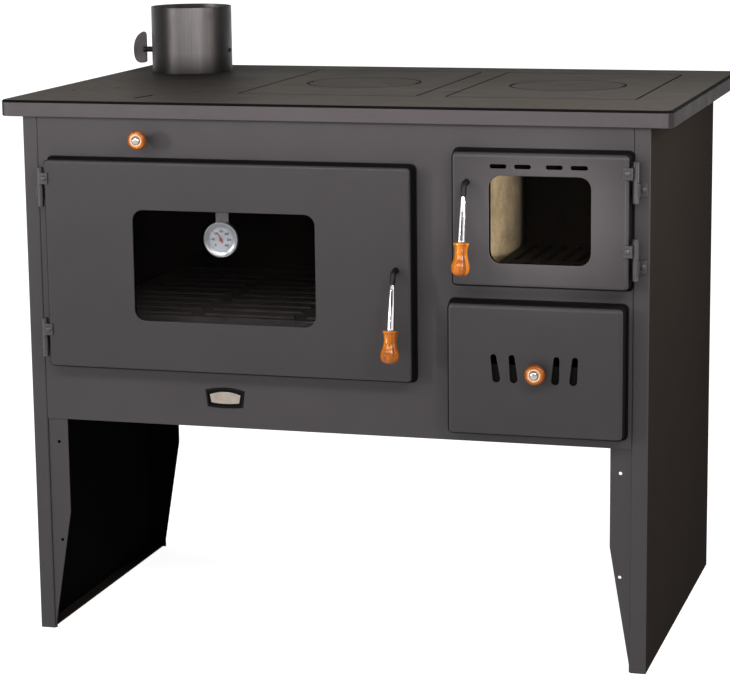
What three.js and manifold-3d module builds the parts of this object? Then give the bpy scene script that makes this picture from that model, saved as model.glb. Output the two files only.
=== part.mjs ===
// Free-standing wood-burning cookstove: a folded sheet-steel body on two side panels that run down
// to the floor as legs, an oven on the left, a firebox and an ash drawer on the right, and a hob
// with two lift-out plates, two round lids and a flue collar with its own damper.
// Millimetres, +Z up. +X is to the right of somebody standing in front of it, and the front faces -Y.
import * as THREE from 'three';
import { mergeVertices } from 'three/addons/utils/BufferGeometryUtils.js';
import Module from 'manifold-3d';

// ---------------------------------------------------------------- driving dimensions
const PLATE_W = 1000;            // hob width, the widest thing on the stove
const PLATE_Y0 = -12, PLATE_Y1 = 640;   // hob front and back edges, from the front panel's face
const TOP_Z = 810;               // cooking surface above the floor
const LIP = 24;                  // height of the hob's edge
const HOB_T = 10;                // hob plate thickness
const BODY_W = 936, BODY_D = 588;       // folded body
const LEG_L_D = 478;             // depth of the left leg below the body, from the front: less than the right leg's
const BELLY_Z = 330;             // underside of the front panel
const PANEL_TOP = TOP_Z - HOB_T - 0.3;  // the panels stand up inside the hob's edge
const T = 2.5;                   // sheet thickness
const STRIP = 23;                // front fold of each side panel
const FLANGE_X = 414;            // inner edge of the recessed flange behind the front panel
const GAP = 0.3;                 // gap between pieces that touch
const FRONT_MOST = -80.1;        // foremost point of the object (the firebox handle's grip)
const Y_SHIFT = -(FRONT_MOST + PLATE_Y1) / 2;   // puts the origin under the middle of the box

const OVEN_DOOR = { x0: -427, x1: 130.5, z0: 415.5, z1: 724.5, d: 25 };
const FIRE_DOOR = { x0: 191, x1: 443, z0: 560, z1: 750, d: 30 };
const ASH_FRONT = { x0: 184, x1: 436, z0: 346, z1: 535, d: 30 };
const OVEN_WIN = { x0: -289, x1: -11, z0: 490.5, z1: 654, r: 16 };
const FIRE_WIN = { x0: 246, x1: 390.5, z0: 594.5, z1: 718, r: 17 };
const OVEN_HOLE = { x0: -404, x1: 119, z0: 438, z1: 702 };
const FIRE_HOLE = { x0: 204, x1: 412, z0: 572, z1: 738 };
const ASH_HOLE = { x0: 198, x1: 412, z0: 358, z1: 523 };
const INS_L = { x0: -180, x1: 96, y0: 141, y1: 557 };
const INS_R = { x0: 140, x1: 422, y0: 141, y1: 557 };
const LID_R = 88, LID_Y = 346;
const FLUE = { x: -386, y: 512, r: 66, wall: 3, top: 917 };
const DAMPER_Z = 845;
const BYPASS = { x: -277.4, z: 756.3 };
const HINGE_Y = -17.5, HINGE_R = 4.75, HINGE_HALF = 29.5;
const OVEN_HINGE_X = -435, FIRE_HINGE_X = 450.5;
const OVEN_HINGE_Z = [683.4, 458], FIRE_HINGE_Z = [711, 603];
const OVEN_HANDLE = { x: 109, z: 578 }, FIRE_HANDLE = { x: 214, z: 708 };
const THERMO = { x: -156.5, z: 612.8 };

// ---------------------------------------------------------------- solids
const wasm = await Module();
wasm.setup();

function solid(geometry) {
  const g = geometry.clone();
  for (const k of Object.keys(g.attributes)) if (k !== 'position') g.deleteAttribute(k);
  const m = mergeVertices(g, 1e-4);
  return new wasm.Manifold(new wasm.Mesh({
    numProp: 3,
    vertProperties: new Float32Array(m.attributes.position.array),
    triVerts: new Uint32Array(m.index.array),
  }));
}
function geometryOf(manifold) {
  const mesh = manifold.getMesh();
  const g = new THREE.BufferGeometry();
  g.setAttribute('position', new THREE.BufferAttribute(new Float32Array(mesh.vertProperties), 3));
  g.setIndex(new THREE.BufferAttribute(new Uint32Array(mesh.triVerts), 1));
  g.computeVertexNormals();
  return g;
}
const add = (...s) => s.reduce((a, b) => a.add(b));
const cut = (a, ...s) => s.reduce((p, b) => p.subtract(b), a);

const box = (x0, x1, y0, y1, z0, z1) => solid(new THREE.BoxGeometry(x1 - x0, y1 - y0, z1 - z0)
  .translate((x0 + x1) / 2, (y0 + y1) / 2, (z0 + z1) / 2));

function roundRect(x0, x1, y0, y1, r, n = 1) {
  const s = new THREE.Shape();
  s.moveTo(x0 + r, y0);
  const corner = (cx, cy, a) => {
    for (let i = 0; i <= n; i++) s.lineTo(cx + r * Math.cos(a + i / n * Math.PI / 2), cy + r * Math.sin(a + i / n * Math.PI / 2));
  };
  corner(x1 - r, y0 + r, -Math.PI / 2);
  corner(x1 - r, y1 - r, 0);
  corner(x0 + r, y1 - r, Math.PI / 2);
  corner(x0 + r, y0 + r, Math.PI);
  s.closePath();
  return s;
}
function poly(points) {
  const s = new THREE.Shape();
  points.forEach(([x, y], i) => (i ? s.lineTo(x, y) : s.moveTo(x, y)));
  s.closePath();
  return s;
}
// A shape drawn in the plane of the floor, raised from z0 to z1.
const upright = (shape, z0, z1) => solid(new THREE.ExtrudeGeometry(shape, { depth: z1 - z0, bevelEnabled: false, curveSegments: 8 }).translate(0, 0, z0));
// A shape drawn on the stove's front (x, z), running back from y0 to y1.
const frontal = (shape, y0, y1) => solid(new THREE.ExtrudeGeometry(shape, { depth: y1 - y0, bevelEnabled: false, curveSegments: 8 })
  .rotateX(Math.PI / 2).translate(0, y1, 0));
const rod = (axis, r, a, b, p, q, n = 16) => {        // axis 'x','y','z'; from a to b; at the other two coordinates p, q
  const g = new THREE.CylinderGeometry(r, r, b - a, n);
  if (axis === 'x') g.rotateZ(-Math.PI / 2).translate((a + b) / 2, p, q);
  if (axis === 'y') g.translate(p, (a + b) / 2, q);
  if (axis === 'z') g.rotateX(Math.PI / 2).translate(p, q, (a + b) / 2);
  return solid(g);
};
// A turned profile [radius, height] about the z axis.
function turned(profile, n = 20) {
  const pts = profile.map(([r, z]) => new THREE.Vector2(r, z));
  if (THREE.ShapeUtils.area(pts) < 0) pts.reverse();
  return new THREE.LatheGeometry(pts, n).rotateX(Math.PI / 2);
}

const root = new THREE.Group();
root.name = 'cookstove';
root.position.y = Y_SHIFT;

const paint = (c, r = 0.55, m = 0.3) => ({ color: c, roughness: r, metalness: m });
const ANTHRACITE = paint(0x4b474a), DARK = paint(0x2a2727, 0.7), HOB = paint(0x46413f, 0.6, 0.5), STEEL = paint(0x77726f, 0.4, 0.9),
  CHROME = paint(0xd8d8d8, 0.12, 1), WOOD = paint(0xb4501a, 0.35, 0), GLASS = paint(0x1b1714, 0.05, 0), BRICK = paint(0xb9a88a, 0.95, 0),
  IRON = paint(0x2e2c2b, 0.75, 0.6), DIAL = paint(0xe8e6e0, 0.5, 0), RED = paint(0x8c1f14, 0.5, 0), BADGE = paint(0xb7aea3, 0.35, 0.8);

function piece(name, shape, look, parent = root) {
  const geometry = shape.isBufferGeometry ? shape : geometryOf(shape);
  const mesh = new THREE.Mesh(geometry, new THREE.MeshStandardMaterial(look));
  mesh.name = name;
  parent.add(mesh);
  return mesh;
}

// ---------------------------------------------------------------- side panels, which are also the legs
function sidePanel(side, legDepth) {
  const W = BODY_W / 2;
  // folded section for one height range: outer wall, front strip, step back, recessed flange, rear flange
  const section = (depth) => poly([
    [W, 0], [W, depth], [FLANGE_X, depth], [FLANGE_X, depth - T], [W - T, depth - T],
    [W - T, T], [W - STRIP + T, T], [W - STRIP + T, 2 * T + GAP], [FLANGE_X, 2 * T + GAP], [FLANGE_X, T + GAP],
    [W - STRIP, T + GAP], [W - STRIP, 0]].map(([x, y]) => [side * x, y]));
  const fix = (s) => (side < 0 ? poly(s.getPoints().map((p) => [p.x, p.y]).reverse()) : s);
  let p = add(upright(fix(section(BODY_D)), BELLY_Z, PANEL_TOP), upright(fix(section(legDepth)), 0, BELLY_Z));
  // the flanges taper towards the foot
  const taper = poly([[side * (FLANGE_X - 5), 185], [side * FLANGE_X, 185], [side * (W - STRIP - 2), 12], [side * (W - STRIP - 2), -5], [side * (FLANGE_X - 5), -5]]);
  const pts = taper.getPoints().map((q) => [q.x, q.y]);
  const wedge = poly(THREE.ShapeUtils.area(pts.map(([x, y]) => new THREE.Vector2(x, y))) < 0 ? pts.reverse() : pts);
  p = cut(p, frontal(wedge, T + GAP / 2, 40), frontal(wedge, legDepth - 40, legDepth + 5));
  // inward lip along the floor
  p = add(p, side > 0 ? box(W - 20, W - 1, 1, legDepth - 1, 0, T) : box(-W + 1, -W + 20, 1, legDepth - 1, 0, T));
  for (const z of [293.5, 140.7]) p = cut(p, rod('y', 2.6, -1, 20, side * 428.7, z, 12));
  return p;
}
piece('side_panel_left', sidePanel(-1, LEG_L_D), ANTHRACITE);
piece('side_panel_right', sidePanel(1, BODY_D), ANTHRACITE);

// ---------------------------------------------------------------- body sheets
const BADGE_AT = { x: -160.6, z: 373.2 };
function badgeOutline(grow) {
  // flat sides, arched top and bottom edges
  const w = 30.5 + grow, h = 12.5 + grow, rise = 4.6, pts = [];
  for (let i = 0; i <= 8; i++) { const t = i / 4 - 1; pts.push([BADGE_AT.x + t * w * 0.9, BADGE_AT.z - h - (1 - t * t) * 1.6]); }
  for (let i = 0; i <= 8; i++) { const t = 1 - i / 4; pts.push([BADGE_AT.x + t * w, BADGE_AT.z + h + (1 - t * t) * rise]); }
  return poly(pts);
}
const innerX = BODY_W / 2 - STRIP - GAP;
piece('front_panel', cut(box(-innerX, innerX, 0, T, BELLY_Z, PANEL_TOP),
  box(OVEN_HOLE.x0, OVEN_HOLE.x1, -5, 10, OVEN_HOLE.z0, OVEN_HOLE.z1),
  box(FIRE_HOLE.x0, FIRE_HOLE.x1, -5, 10, FIRE_HOLE.z0, FIRE_HOLE.z1),
  box(ASH_HOLE.x0, ASH_HOLE.x1, -5, 10, ASH_HOLE.z0, ASH_HOLE.z1),
  rod('y', 4.6, -5, 10, BYPASS.x, BYPASS.z),
  frontal(badgeOutline(0), -5, 10)), ANTHRACITE);
// shallow dish for a name plate, with its plate left bare
piece('badge_plate', add(cut(frontal(badgeOutline(-GAP), -0.8, 5), frontal(badgeOutline(-3), -5, 2.4)),
  frontal(badgeOutline(-6.5), -0.2, 3)), BADGE);
const wallX = BODY_W / 2 - T - GAP;
piece('back_panel', box(-wallX, wallX, BODY_D - 2 * T - GAP, BODY_D - T - GAP, BELLY_Z + 2, PANEL_TOP), DARK);
piece('base_panel', box(-wallX, wallX, 2 * T + 2 * GAP, BODY_D - 2 * T - 2 * GAP, BELLY_Z + 2, BELLY_Z + 2 + T), DARK);
const BASE_TOP = BELLY_Z + 2 + T;

// ---------------------------------------------------------------- inside the body
const DIV_X = 168;
piece('divider_panel', box(DIV_X, DIV_X + 3, 2 * T + 2 * GAP, BODY_D - 2 * T - 2 * GAP, BASE_TOP + GAP, 712), DARK);
{
  const o = OVEN_HOLE, w = 2, back = 480;
  const tz = 486, rail = tz - 12.3;
  piece('oven_box', add(cut(add(box(o.x0 - w, o.x1 + w, T + GAP, back, o.z0 - w, o.z1 + w),
    box(-FLANGE_X + 0.6, o.x1 + 12, T + GAP, T + GAP + 2, o.z0 - 14, o.z1 + 10)),
  box(o.x0, o.x1, -5, back - w, o.z0, o.z1),
  // keeper notch through the right wall and its flange, which the latch cam swings into behind the front panel
  box(o.x1 - 1, o.x1 + 20, 0, 18, OVEN_HANDLE.z - 12, OVEN_HANDLE.z + 26)),
  // rails along both sides that carry the tray
  box(o.x0 - 1, o.x0 + 14, 20, back - 8, rail - 2, rail), box(o.x1 - 14, o.x1 + 1, 20, back - 8, rail - 2, rail)), DARK);
  // ribbed baking tray on the rails: three columns of pressed ribs
  let tray = cut(box(-396, 111, 26, 466, tz - 12, tz + 4), box(-393, 108, 29, 463, tz, tz + 10));
  tray = cut(tray, box(-380, 95, 42, 450, tz - 20, tz - 2.5));
  for (const [x0, x1] of [[-372, -232], [-212, -72], [-52, 88]]) {
    for (let y = 62; y < 440; y += 42) tray = add(tray, box(x0, x1, y, y + 8, tz - 1, tz + 2.6));
  }
  piece('oven_tray', tray, IRON);
}
// smoke baffle above the oven, with the window that the bypass flap closes
piece('smoke_baffle', cut(box(-wallX, DIV_X, 430, 433, 704.4, PANEL_TOP), box(BYPASS.x - 50, BYPASS.x + 50, 420, 440, 722, 790)), DARK);
piece('bypass_flap', box(BYPASS.x - 56, BYPASS.x + 56, 426.4, 429.4, 716, 794), STEEL);
piece('bypass_rod', add(rod('y', 4, -13.7, 426.1, BYPASS.x, BYPASS.z, 12), rod('y', 3, -27, -13, BYPASS.x, BYPASS.z, 12)), STEEL);

// floor of the firebox, grate and refractory boards
const FB_Z = 546;
piece('grate_frame', cut(box(DIV_X + 3 + GAP, wallX, 2 * T + 2 * GAP, BODY_D - 2 * T - 2 * GAP, FB_Z - 6, FB_Z),
  box(216, 402, 60, 380, FB_Z - 20, FB_Z + 10)), DARK);
{
  let g = box(206, 413, 40, 398, FB_Z + GAP, FB_Z + 12);
  for (let i = 0; i < 8; i++) for (const [a, b] of [[62, 208], [230, 376]]) {
    const x = 226 + i * 23.8;
    g = cut(g, upright(roundRect(x - 4.5, x + 4.5, a, b, 4, 2), FB_Z - 5, FB_Z + 20));
  }
  piece('grate', g, IRON);
}
piece('lining_left', cut(box(DIV_X + 3 + 2 * GAP, 203, 14, 426, FB_Z + GAP, 762)), BRICK);
piece('lining_right', cut(box(416, 442, 14, 426, FB_Z + GAP, 762)), BRICK);
piece('lining_rear', box(203 + GAP, 416 - GAP, 400, 426, FB_Z + GAP, 762), BRICK);
// shelf that the ash pan slides on
piece('ash_shelf', add(box(198, 412, 6, 440, 355.7, 357.7), box(198, 200, 6, 440, BASE_TOP + GAP, 357), box(410, 412, 6, 440, BASE_TOP + GAP, 357)), DARK);

// ---------------------------------------------------------------- hob
{
  const W = PLATE_W / 2;
  let h = upright(roundRect(-W, W, PLATE_Y0, PLATE_Y1, 16, 3), TOP_Z - LIP, TOP_Z);
  // slightly eased top edge
  h = cut(h, upright(roundRect(-W + 8, W - 8, PLATE_Y0 + 8, PLATE_Y1 - 8, 8, 2), TOP_Z - LIP - 5, TOP_Z - HOB_T));
  for (const o of [INS_L, INS_R]) {
    h = cut(h, upright(roundRect(o.x0, o.x1, o.y0, o.y1, 5, 2), TOP_Z - 6.3, TOP_Z + 5));
    h = cut(h, upright(roundRect(o.x0 + 12, o.x1 - 12, o.y0 + 12, o.y1 - 12, 5, 2), TOP_Z - 20, TOP_Z));
  }
  h = cut(h, rod('z', FLUE.r + GAP, TOP_Z - 30, TOP_Z + 5, FLUE.x, FLUE.y, 40));
  // narrow relief slot near the front left corner
  const sl = new THREE.ExtrudeGeometry(roundRect(-2.2, 2.2, -25, 25, 2, 1), { depth: 40, bevelEnabled: false })
    .rotateZ(-Math.atan2(9, 49)).translate(-303, 68, TOP_Z - 30);
  h = cut(h, solid(sl));
  piece('hob_frame', h, HOB);
}
function insert(name, o) {
  const cx = (o.x0 + o.x1) / 2;
  piece(name, cut(upright(roundRect(o.x0 + GAP + 0.2, o.x1 - GAP - 0.2, o.y0 + GAP + 0.2, o.y1 - GAP - 0.2, 5, 2), TOP_Z - 6, TOP_Z),
    rod('z', LID_R, TOP_Z - 3, TOP_Z + 5, cx, LID_Y, 40), rod('z', LID_R - 8, TOP_Z - 20, TOP_Z, cx, LID_Y, 40)), HOB);
  return cx;
}
function lid(name, cx) {
  let l = add(rod('z', LID_R - 0.5, TOP_Z - 2.7, TOP_Z, cx, LID_Y, 40), rod('z', LID_R - 8.6, TOP_Z - 9, TOP_Z - 2, cx, LID_Y, 40));
  for (const s of [-1, 1]) l = cut(l, rod('z', 5, TOP_Z - 20, TOP_Z + 5, cx + s * (LID_R - 0.5), LID_Y, 12));
  piece(name, l, HOB);
}
const CX_L = insert('hob_plate_left', INS_L), CX_R = insert('hob_plate_right', INS_R);
lid('hob_lid_left', CX_L);
lid('hob_lid_right', CX_R);

// ---------------------------------------------------------------- flue collar and its damper
{
  const { x, y, r, wall, top } = FLUE;
  let c = add(rod('z', r, TOP_Z - HOB_T - 5, top, x, y, 40), rod('z', r + 4, TOP_Z - HOB_T - 4.3, TOP_Z - HOB_T - GAP, x, y, 40));
  c = cut(c, rod('z', r - wall, 700, top + 5, x, y, 40), rod('x', 3.2, x - 90, x + 90, y, DAMPER_Z, 12));
  piece('flue_collar', c, STEEL);
  piece('damper_shaft', rod('x', 3, x - r - 8, x + r + 2.4, y, DAMPER_Z, 12), STEEL);
  piece('damper_disc', rod('y', 60, y + 3.3, y + 5.3, x, DAMPER_Z, 32), STEEL);
  // flat, D-shaped handle, straight on the side of the collar
  const hx = x - r - 13.6, pts = [[hx, DAMPER_Z - 19], [hx - 2, DAMPER_Z - 21.5]];
  for (const [dx, dz] of [[-7, -22.5], [-14, -22.3], [-19.5, -18.5], [-22.5, -11], [-23.4, -1], [-22.6, 8], [-19.6, 17], [-14.5, 24], [-8.5, 28.2], [-4.6, 29.2], [-1.4, 27.4], [0, 23.5]]) pts.push([hx + dx, DAMPER_Z + dz]);
  const a = THREE.ShapeUtils.area(pts.map(([u, v]) => new THREE.Vector2(u, v)));
  piece('damper_handle', cut(add(frontal(poly(a < 0 ? pts.reverse() : pts), y - 1.6, y + 1.6), rod('x', 4.6, hx - 6, x - r - 1, y, DAMPER_Z, 16)),
    rod('x', 3.3, x - r - 8.3, x, y, DAMPER_Z, 12)), STEEL);
}

// ---------------------------------------------------------------- pressed pans: two doors and the drawer front
function pan(o, wall, r, ease) {
  const g = new THREE.ExtrudeGeometry(roundRect(o.x0 + ease, o.x1 - ease, o.z0 + ease, o.z1 - ease, Math.max(r - ease, 1), 2),
    { depth: o.d, bevelEnabled: true, bevelThickness: ease, bevelSize: ease, bevelSegments: 2 }).rotateX(Math.PI / 2).translate(0, 0, 0);
  // the eased edge is at the front, the back is trimmed square
  let s = solid(g.translate(0, ease, 0)).trimByPlane([0, -1, 0], 1).translate([0, 0, 0]);
  const b = s.boundingBox();
  s = s.translate([0, -o.d - b.min[1], 0]).trimByPlane([0, -1, 0], 1);
  return cut(s, box(o.x0 + wall, o.x1 - wall, -o.d + wall, 20, o.z0 + wall, o.z1 - wall));
}
const win = (w, y0, y1, grow = 0) => frontal(roundRect(w.x0 - grow, w.x1 + grow, w.z0 - grow, w.z1 + grow, w.r, 4), y0, y1);

const ovenDoor = pan(OVEN_DOOR, 3, 6, 4);
piece('oven_door_shell', cut(ovenDoor, win(OVEN_WIN, -60, 0), rod('y', 4.5, -60, 0, OVEN_HANDLE.x, OVEN_HANDLE.z)), ANTHRACITE);
piece('oven_door_glass', frontal(roundRect(OVEN_WIN.x0 - 14, OVEN_WIN.x1 + 14, OVEN_WIN.z0 - 14, OVEN_WIN.z1 + 14, 8, 1), -OVEN_DOOR.d + 3.3, -OVEN_DOOR.d + 7.3), GLASS);
function liner(o, w, hd, y0, y1, glassBack) {
  // inner sheet with a turned-in edge that clamps the glass
  return cut(add(box(o.x0 + 3.4, o.x1 - 3.4, y0, y1, o.z0 + 3.4, o.z1 - 3.4), frontal(roundRect(w.x0 - 9, w.x1 + 9, w.z0 - 9, w.z1 + 9, w.r, 4), glassBack, y1)),
    frontal(roundRect(w.x0 - 6, w.x1 + 6, w.z0 - 6, w.z1 + 6, w.r, 4), -60, 20), rod('y', 4.5, -60, 20, hd.x, hd.z));
}
piece('oven_door_liner', liner(OVEN_DOOR, OVEN_WIN, OVEN_HANDLE, -4, -2, -OVEN_DOOR.d + 7.6), DARK);

let fireDoor = cut(pan(FIRE_DOOR, 3, 7, 6), win(FIRE_WIN, -60, 0), rod('y', 4.5, -60, 0, FIRE_HANDLE.x, FIRE_HANDLE.z));
for (const [a, b] of [[247, 271], [282, 305.8], [326.8, 350.8], [361.8, 386]]) fireDoor = cut(fireDoor, frontal(roundRect(a, b, 728, 734, 2.8, 2), -60, -20));
piece('firebox_door_shell', fireDoor, ANTHRACITE);
piece('firebox_door_glass', frontal(roundRect(FIRE_WIN.x0 - 8, FIRE_WIN.x1 + 8, FIRE_WIN.z0 - 8, FIRE_WIN.z1 + 8, 8, 1), -FIRE_DOOR.d + 3.3, -FIRE_DOOR.d + 7.3), GLASS);
piece('firebox_door_liner', cut(add(box(FIRE_DOOR.x0 + 3.4, FIRE_DOOR.x1 - 3.4, -4, -2, FIRE_DOOR.z0 + 3.4, FIRE_DOOR.z1 - 3.4),
  frontal(roundRect(FIRE_WIN.x0 - 7, FIRE_WIN.x1 + 7, FIRE_WIN.z0 - 7, FIRE_WIN.z1 + 7, FIRE_WIN.r, 4), -FIRE_DOOR.d + 7.6, -2)),
frontal(roundRect(FIRE_WIN.x0 - 4, FIRE_WIN.x1 + 4, FIRE_WIN.z0 - 4, FIRE_WIN.z1 + 4, FIRE_WIN.r, 4), -60, 20), rod('y', 4.5, -60, 20, FIRE_HANDLE.x, FIRE_HANDLE.z)), DARK);

// ash drawer: pressed front with four teardrop air slots, and the pan behind it
{
  let f = pan(ASH_FRONT, 3, 7, 6);
  for (const [xt, xb] of [[252, 256.2], [278.4, 281.5], [342.8, 340.8], [369.2, 366.8]]) {
    const pts = [], zt = 464.5, zb = 424;
    const dir = Math.atan2(xb - xt, zt - zb);
    for (let i = 0; i <= 4; i++) { const a = i / 4 * Math.PI; pts.push([xt + 3.6 * Math.cos(a) , zt - 3.6 + 3.6 * Math.sin(a)]); }
    for (let i = 0; i <= 4; i++) { const a = Math.PI + i / 4 * Math.PI; pts.push([xb + 5.6 * Math.cos(a), zb + 5.6 + 5.6 * Math.sin(a)]); }
    f = cut(f, frontal(poly(pts), -60, -20));
  }
  f = cut(f, rod('y', 3.2, -60, 0, 314.5, 440, 12));
  piece('ash_drawer_front', f, ANTHRACITE);
  const a = ASH_HOLE;
  piece('ash_pan', cut(box(a.x0 + 6, a.x1 - 6, -26.7, 420, a.z0 + 3, a.z0 + 92), box(a.x0 + 8, a.x1 - 8, -24.7, 418, a.z0 + 5, a.z0 + 120),
    rod('y', 3.2, -60, 0, 314.5, 440, 12)), STEEL);
}

// ---------------------------------------------------------------- turned knobs
function knob(prefix, x, y, z, s = 1) {
  // ring of turned wood, with a domed bright screw cap in the middle, its axis along -Y
  const place = (g) => g.rotateX(Math.PI / 2).translate(x, y, z);
  const wood = turned([[3.4, 0], [9.5 * s, 0], [10.5 * s, 2], [11 * s, 5], [14.4 * s, 8.5], [15.4 * s, 12], [15 * s, 15.5], [12.6 * s, 18.6], [8 * s, 19.4], [6.6, 18.6], [6.6, 14], [3.4, 14], [3.4, 0]], 24);
  piece(prefix + '_wood', place(wood), WOOD);
  const cap = turned([[0, 14.3], [6.2, 14.3], [6.2, 19.6], [5.6, 21.2], [3.4, 22.6], [0, 23.2]], 16);
  piece(prefix + '_cap', place(cap), CHROME);
}
knob('bypass_knob', BYPASS.x, -14, BYPASS.z, 0.93);
knob('ash_knob', 314.5, -30.3, 440, 0.98);
piece('ash_knob_screw', add(rod('y', 2.9, -43.5, -20, 314.5, 440, 12), rod('y', 5.5, -24.4, -21, 314.5, 440, 6)), STEEL);
// ---------------------------------------------------------------- door handles: bent rod, bright tapered ferrule, turned wood grip
function handle(prefix, at, doorDepth) {
  const y0 = -doorDepth - 16;
  const sec = new THREE.Shape();
  for (let i = 0; i < 10; i++) { const a = i / 10 * 2 * Math.PI; (i ? sec.lineTo : sec.moveTo).call(sec, 4 * Math.cos(a), 4 * Math.sin(a)); }
  sec.closePath();
  const pts = [[13, 0], [0, 0], [y0 + 12, 0], [y0 + 6, -0.8], [y0 + 2, -3.6], [y0, -8.5], [y0 - 2.2, -17.5]].map(([y, z]) => new THREE.Vector3(at.x, y, at.z + z));
  const tube = new THREE.ExtrudeGeometry(sec, { steps: 16, bevelEnabled: false, extrudePath: new THREE.CatmullRomCurve3(pts, false, 'catmullrom', 0.5) });
  piece(prefix + '_rod', tube, IRON);
  const lean = Math.atan2(20, 108);
  const place = (g) => g.rotateX(-lean).translate(at.x, y0 - 2.6, at.z - 18);
  piece(prefix + '_ferrule', place(turned([[0, 0], [2.8, 0], [3.4, -6], [4.6, -30], [5.4, -62], [5.4, -64], [0, -64]], 16)), CHROME);
  piece(prefix + '_grip', place(turned([[0, -64.3], [10.2, -64.3], [11.2, -65.5], [11.2, -67.8], [9.6, -69.6], [8.9, -75], [9.1, -82], [10.4, -88.5], [12.4, -94], [13.2, -99], [12.8, -103.5], [10.6, -108], [6, -110.6], [0, -111]], 20)), WOOD);
  // latch cam on the inner end: it points up while the handle hangs, and swings behind the panel's edge as the handle is turned
  piece(prefix + '_cam', cut(box(at.x - 6, at.x + 6, 6, 9, at.z - 7, at.z + 20), rod('y', 4.3, 0, 20, at.x, at.z, 12)), STEEL);
}
handle('oven_handle', OVEN_HANDLE, OVEN_DOOR.d);
handle('firebox_handle', FIRE_HANDLE, FIRE_DOOR.d);

// ---------------------------------------------------------------- lift-off hinges: frame half with the pin, door half above it
function hinge(prefix, hx, hz, side, doorDepth, doorEdge) {
  // side: +1 when the frame is to the right of the hinge, -1 when it is to the left
  const y = HINGE_Y, n = 12;
  const bx = (a, b, ...r) => box(Math.min(a, b), Math.max(a, b), ...r);
  // frame half: lower barrel, pin, and a cranked leaf screwed to the side panel's front strip
  let f = add(rod('z', HINGE_R, hz - HINGE_HALF, hz - 0.2, hx, y, n), rod('z', 2.4, hz - 5, hz + 18, hx, y, n));
  f = add(f, bx(hx, hx + side * 5.5, y - 1.2, y + 1.2, hz - 21, hz - 2), bx(hx + side * 3.2, hx + side * 5.6, y - 1.2, -GAP, hz - 21, hz - 2),
    bx(hx + side * 3.2, hx + side * 14, -2.8, -GAP, hz - 21, hz - 2));
  f = add(f, rod('y', 4.2, -5.6, -2, hx + side * 8.4, hz - 11, n));
  piece(prefix + '_frame_half', f, ANTHRACITE);
  // door half: upper barrel with its bore, and a leaf lying on the door's edge
  let d = cut(rod('z', HINGE_R, hz + 0.2, hz + HINGE_HALF, hx, y, n), rod('z', 2.7, hz - 5, hz + 18.6, hx, y, n));
  const yf = -doorDepth - GAP;
  d = add(d, cut(bx(hx - side * 1.5, hx - side * 15, yf - 2, yf, hz + 5, hz + 22), rod('z', 2.7, hz - 5, hz + 18.6, hx, y, n)),
    bx(hx - side * 3, hx - side * 6.2, yf - 1, y + 2, hz + 5, hz + 22));
  d = add(d, rod('y', 4.2, yf - 4.4, yf - 1, hx - side * 9, hz + 13.5, n));
  d = cut(d, bx(doorEdge + side * GAP, doorEdge - side * 40, yf + 0.02, 0, hz - 40, hz + 40), rod('z', 2.7, hz - 5, hz + 18.6, hx, y, n));
  piece(prefix + '_door_half', d, ANTHRACITE);
}
hinge('oven_hinge_upper', OVEN_HINGE_X, OVEN_HINGE_Z[0], -1, OVEN_DOOR.d, OVEN_DOOR.x0);
hinge('oven_hinge_lower', OVEN_HINGE_X, OVEN_HINGE_Z[1], -1, OVEN_DOOR.d, OVEN_DOOR.x0);
hinge('firebox_hinge_upper', FIRE_HINGE_X, FIRE_HINGE_Z[0], 1, FIRE_DOOR.d, FIRE_DOOR.x1);
hinge('firebox_hinge_lower', FIRE_HINGE_X, FIRE_HINGE_Z[1], 1, FIRE_DOOR.d, FIRE_DOOR.x1);

// ---------------------------------------------------------------- oven thermometer behind the glass
{
  const { x, z } = THERMO, y = -16.9;
  const place = (g) => g.rotateX(Math.PI / 2).translate(x, y, z);   // local +z becomes -y, so heights are negative towards the back
  piece('thermometer_case', place(turned([[1.2, -9], [24, -9], [26, -7], [26, -0.8], [25.2, 0], [23.4, 0], [22.9, -0.8], [22.9, -4.4], [1.2, -4.4], [1.2, -9]], 28)), CHROME);
  piece('thermometer_dial', place(turned([[1.2, -4.1], [22.5, -4.1], [22.5, -3.3], [1.2, -3.3], [1.2, -4.1]], 28)), DIAL);
  // pointer and its spindle, turned by the coil behind the dial
  const spin = add(rod('y', 0.9, y + 0.9, y + 6, x, z, 8), rod('y', 2.2, y + 0.9, y + 2.9, x, z, 12));
  const blade = new THREE.ExtrudeGeometry(poly([[-1.2, -7], [1.2, -7], [0.9, 0], [0.35, 17], [-0.35, 17], [-0.9, 0]]), { depth: 0.7, bevelEnabled: false })
    .rotateX(Math.PI / 2).translate(0, 0.35, 0).rotateY(-0.44).translate(x, y + 1.9, z);
  piece('thermometer_pointer', add(spin, solid(blade)), RED);
  // hanger: a strip from under the liner's turned-in edge down to the back of the case
  piece('thermometer_strap', add(box(x - 10, x + 10, y + 9.3, y + 10.8, z - 12, OVEN_WIN.z1 + 5.7), box(x - 10, x + 10, y + 2.5, y + 13, OVEN_WIN.z1 + 4.2, OVEN_WIN.z1 + 5.7)), STEEL);
}

export default root;
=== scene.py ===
import math

import bmesh
import bpy
from mathutils import Matrix, Vector
from mathutils.geometry import tessellate_polygon


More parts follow.
